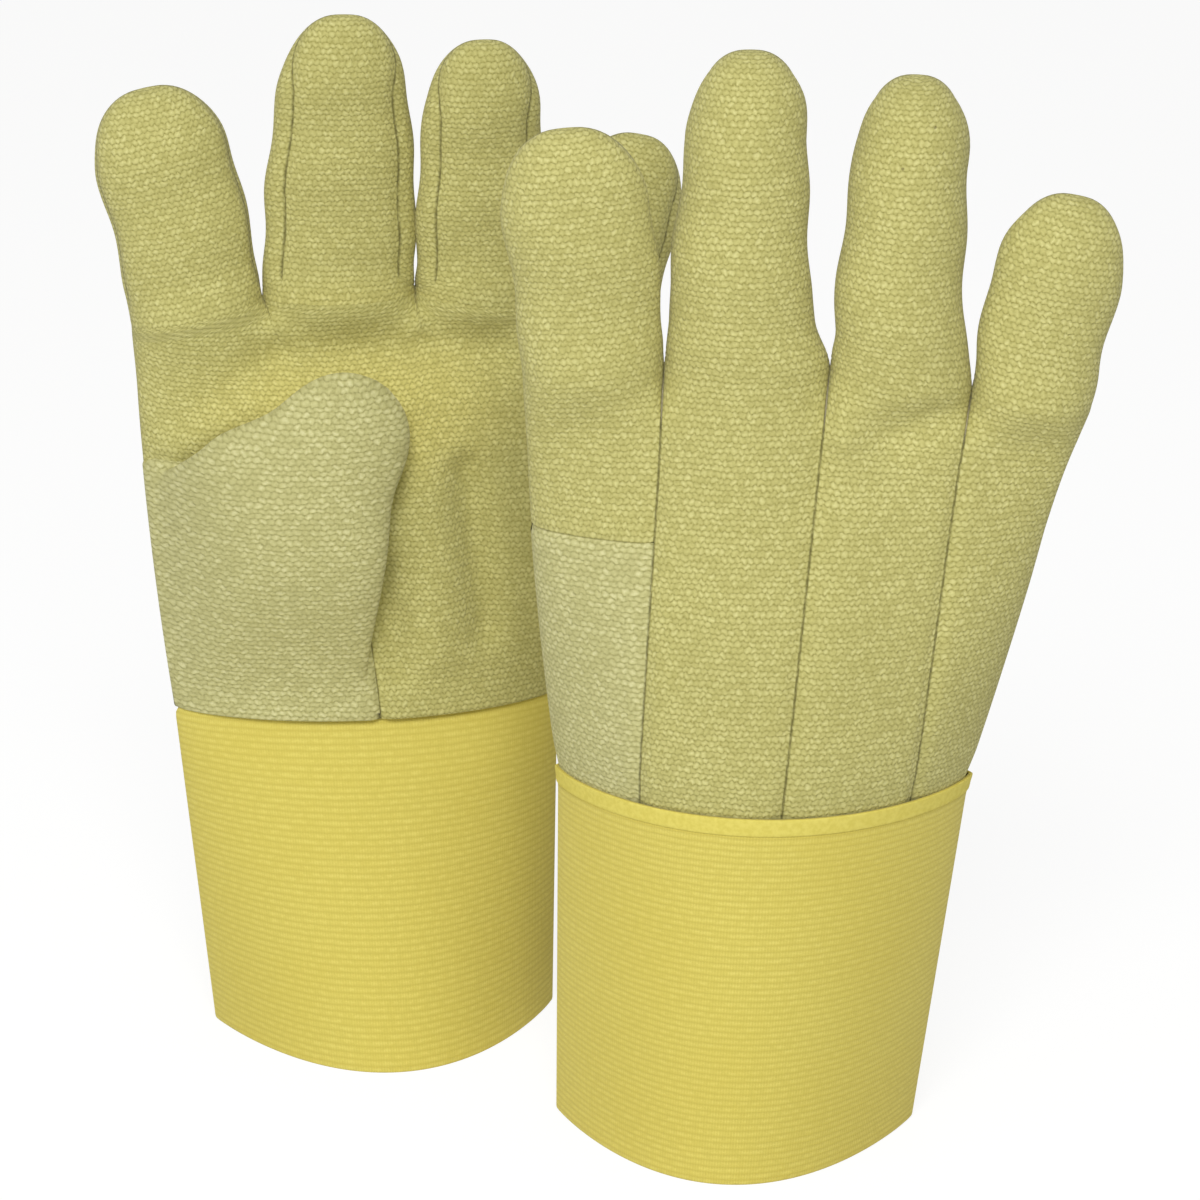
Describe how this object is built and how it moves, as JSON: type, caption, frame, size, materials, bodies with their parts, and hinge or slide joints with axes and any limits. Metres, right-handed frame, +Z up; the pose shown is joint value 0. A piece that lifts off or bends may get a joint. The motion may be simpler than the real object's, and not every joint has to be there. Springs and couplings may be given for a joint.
{
  "type": "heat-resistant gauntlet gloves",
  "caption": "Sewn gauntlet gloves of coarse woven aramid cloth with felt lining, wrap-round thumb panels and ribbed yellow cuffs; they stand on their rims and each digit bends.",
  "frame": {"origin": "middle of the pair's outline on the ground, under both cuffs", "axes": "+Z up along the gloves to the fingertips, +Y away from the viewer, +X to the viewer's right"},
  "size_m": [0.3127, 0.1871, 0.346],
  "materials": {
    "hand_cloth": "matte coarse plain weave",
    "thumb_cloth": "matte napped weave",
    "lining_felt": "matte felt",
    "cuff_rib": "matte fine horizontal rib",
    "cuff_band": "matte smooth turned edge"
  },
  "bodies": {
    "right_hand": {"right_palm_panel": "hand_cloth", "right_index_back_strip": "hand_cloth", "right_middle_back_strip": "hand_cloth", "right_ring_back_strip": "hand_cloth", "right_little_back_strip": "hand_cloth", "right_thumb_side_panel": "thumb_cloth", "right_thumb_base": "thumb_cloth", "right_palm_liner": "lining_felt", "right_back_liner": "lining_felt", "right_thumb_base_liner": "lining_felt", "right_cuff": "cuff_rib", "right_cuff_band": "cuff_band"},
    "right_index": {"right_index_front": "hand_cloth", "right_index_back": "hand_cloth", "right_index_liner": "lining_felt"},
    "right_middle": {"right_middle_front": "hand_cloth", "right_middle_back": "hand_cloth", "right_middle_liner": "lining_felt"},
    "right_ring": {"right_ring_front": "hand_cloth", "right_ring_back": "hand_cloth", "right_ring_liner": "lining_felt"},
    "right_little": {"right_little_front": "hand_cloth", "right_little_back": "hand_cloth", "right_little_liner": "lining_felt"},
    "right_thumb": {"right_thumb_outer": "thumb_cloth", "right_thumb_inner": "thumb_cloth", "right_thumb_liner": "lining_felt"},
    "left_hand": {"left_palm_panel": "hand_cloth", "left_index_back_strip": "hand_cloth", "left_middle_back_strip": "hand_cloth", "left_ring_back_strip": "hand_cloth", "left_little_back_strip": "hand_cloth", "left_thumb_side_panel": "thumb_cloth", "left_thumb_base": "thumb_cloth", "left_palm_liner": "lining_felt", "left_back_liner": "lining_felt", "left_thumb_base_liner": "lining_felt", "left_cuff": "cuff_rib", "left_cuff_band": "cuff_band"},
    "left_index": {"left_index_front": "hand_cloth", "left_index_back": "hand_cloth", "left_index_liner": "lining_felt"},
    "left_middle": {"left_middle_front": "hand_cloth", "left_middle_back": "hand_cloth", "left_middle_liner": "lining_felt"},
    "left_ring": {"left_ring_front": "hand_cloth", "left_ring_back": "hand_cloth", "left_ring_liner": "lining_felt"},
    "left_little": {"left_little_front": "hand_cloth", "left_little_back": "hand_cloth", "left_little_liner": "lining_felt"},
    "left_thumb": {"left_thumb_outer": "thumb_cloth", "left_thumb_inner": "thumb_cloth", "left_thumb_liner": "lining_felt"}
  },
  "joints": [
    {"name": "left_glove_lift", "type": "slide", "parent": "right_hand", "child": "left_hand", "axis": [0, 0, 1], "range_m": [0, 0.4]},
    {"name": "right_index_bend", "type": "hinge", "parent": "right_hand", "child": "right_index", "pos_m": [0.00232, -0.03991, 0.25081], "axis": [0.9917, -0.0609, 0.1132], "range_deg": [-60, 0], "stiffness_Nm_per_rad": 0.06},
    {"name": "right_middle_bend", "type": "hinge", "parent": "right_hand", "child": "right_middle", "pos_m": [0.04777, -0.04248, 0.2532], "axis": [0.9986, -0.0523, 0], "range_deg": [-60, 0], "stiffness_Nm_per_rad": 0.06},
    {"name": "right_ring_bend", "type": "hinge", "parent": "right_hand", "child": "right_ring", "pos_m": [0.09323, -0.04462, 0.2502], "axis": [0.9891, -0.0407, -0.1414], "range_deg": [-60, 0], "stiffness_Nm_per_rad": 0.06},
    {"name": "right_little_bend", "type": "hinge", "parent": "right_hand", "child": "right_little", "pos_m": [0.13173, -0.04613, 0.24379], "axis": [0.981, -0.0364, -0.1908], "range_deg": [-60, 0], "stiffness_Nm_per_rad": 0.06},
    {"name": "right_thumb_lift", "type": "hinge", "parent": "right_hand", "child": "right_thumb", "pos_m": [0.03515, -0.01156, 0.19491], "axis": [0.7991, 0.0055, -0.6011], "range_deg": [-45, 0], "stiffness_Nm_per_rad": 0.06},
    {"name": "left_index_bend", "type": "hinge", "parent": "left_hand", "child": "left_index", "pos_m": [-0.12349, 0.03806, 0.23911], "axis": [0.9712, 0.143, 0.1908], "range_deg": [0, 60], "stiffness_Nm_per_rad": 0.06},
    {"name": "left_middle_bend", "type": "hinge", "parent": "left_hand", "child": "left_middle", "pos_m": [-0.07838, 0.04432, 0.2432], "axis": [0.9914, 0.1305, 0], "range_deg": [0, 60], "stiffness_Nm_per_rad": 0.06},
    {"name": "left_ring_bend", "type": "hinge", "parent": "left_hand", "child": "left_ring", "pos_m": [-0.03324, 0.05002, 0.2402], "axis": [0.9829, 0.1182, -0.1414], "range_deg": [0, 60], "stiffness_Nm_per_rad": 0.06},
    {"name": "left_little_bend", "type": "hinge", "parent": "left_hand", "child": "left_little", "pos_m": [0.00503, 0.05454, 0.23364], "axis": [0.9735, 0.1123, -0.1993], "range_deg": [0, 60], "stiffness_Nm_per_rad": 0.06},
    {"name": "left_thumb_lift", "type": "hinge", "parent": "left_hand", "child": "left_thumb", "pos_m": [-0.08854, 0.01251, 0.18491], "axis": [0.7971, 0.0572, -0.6011], "range_deg": [0, 45], "stiffness_Nm_per_rad": 0.06}
  ]
}
